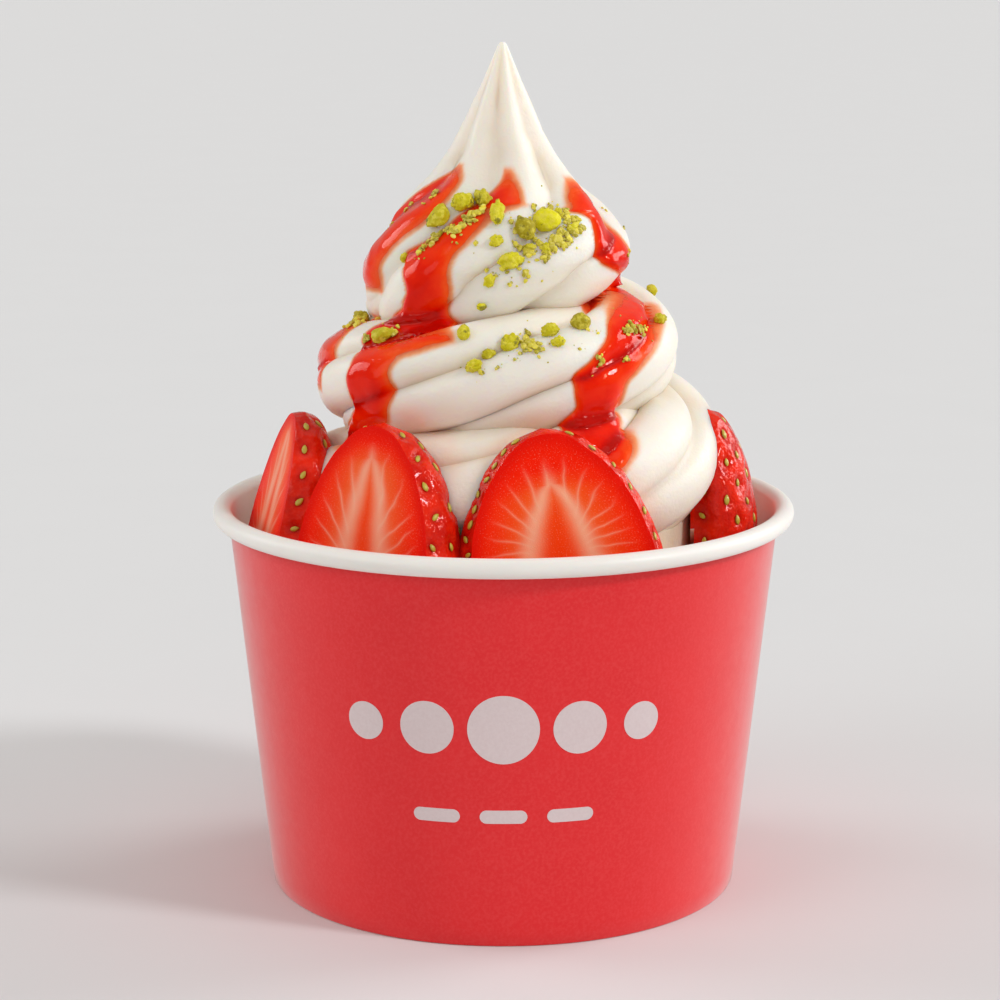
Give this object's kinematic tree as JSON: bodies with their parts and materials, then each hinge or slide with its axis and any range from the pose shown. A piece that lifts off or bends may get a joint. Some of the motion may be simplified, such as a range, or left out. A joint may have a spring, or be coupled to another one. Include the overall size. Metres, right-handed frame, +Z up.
{
  "type": "frozen yogurt cup",
  "caption": "Paper tub of fluted soft-serve frozen yogurt with strawberry sauce, pistachio pieces and strawberry halves round the swirl.",
  "frame": {"origin": "centre of the cup's foot ring, on the surface that the cup stands on", "axes": "+Z up along the cup's axis to the swirl's tip, -Y to the front of the cup"},
  "size_m": [0.096, 0.096, 0.1389],
  "materials": {
    "cup_paper": "matte printed paper, off-white on the rolled rim and inside",
    "base_paper": "matte off-white paper",
    "yogurt": "soft satin, with glossy red strawberry sauce and green pistachio pieces on it",
    "strawberry": "glossy red skin with yellow seeds, moist cut face with pale veins"
  },
  "bodies": {
    "root": {"cup_wall": "cup_paper", "cup_base": "base_paper", "yogurt": "yogurt", "strawberry_front_right": "strawberry", "strawberry_front_left": "strawberry", "strawberry_left": "strawberry", "strawberry_right": "strawberry", "strawberry_back_right": "strawberry", "strawberry_back": "strawberry", "strawberry_back_left": "strawberry"}
  },
  "joints": []
}
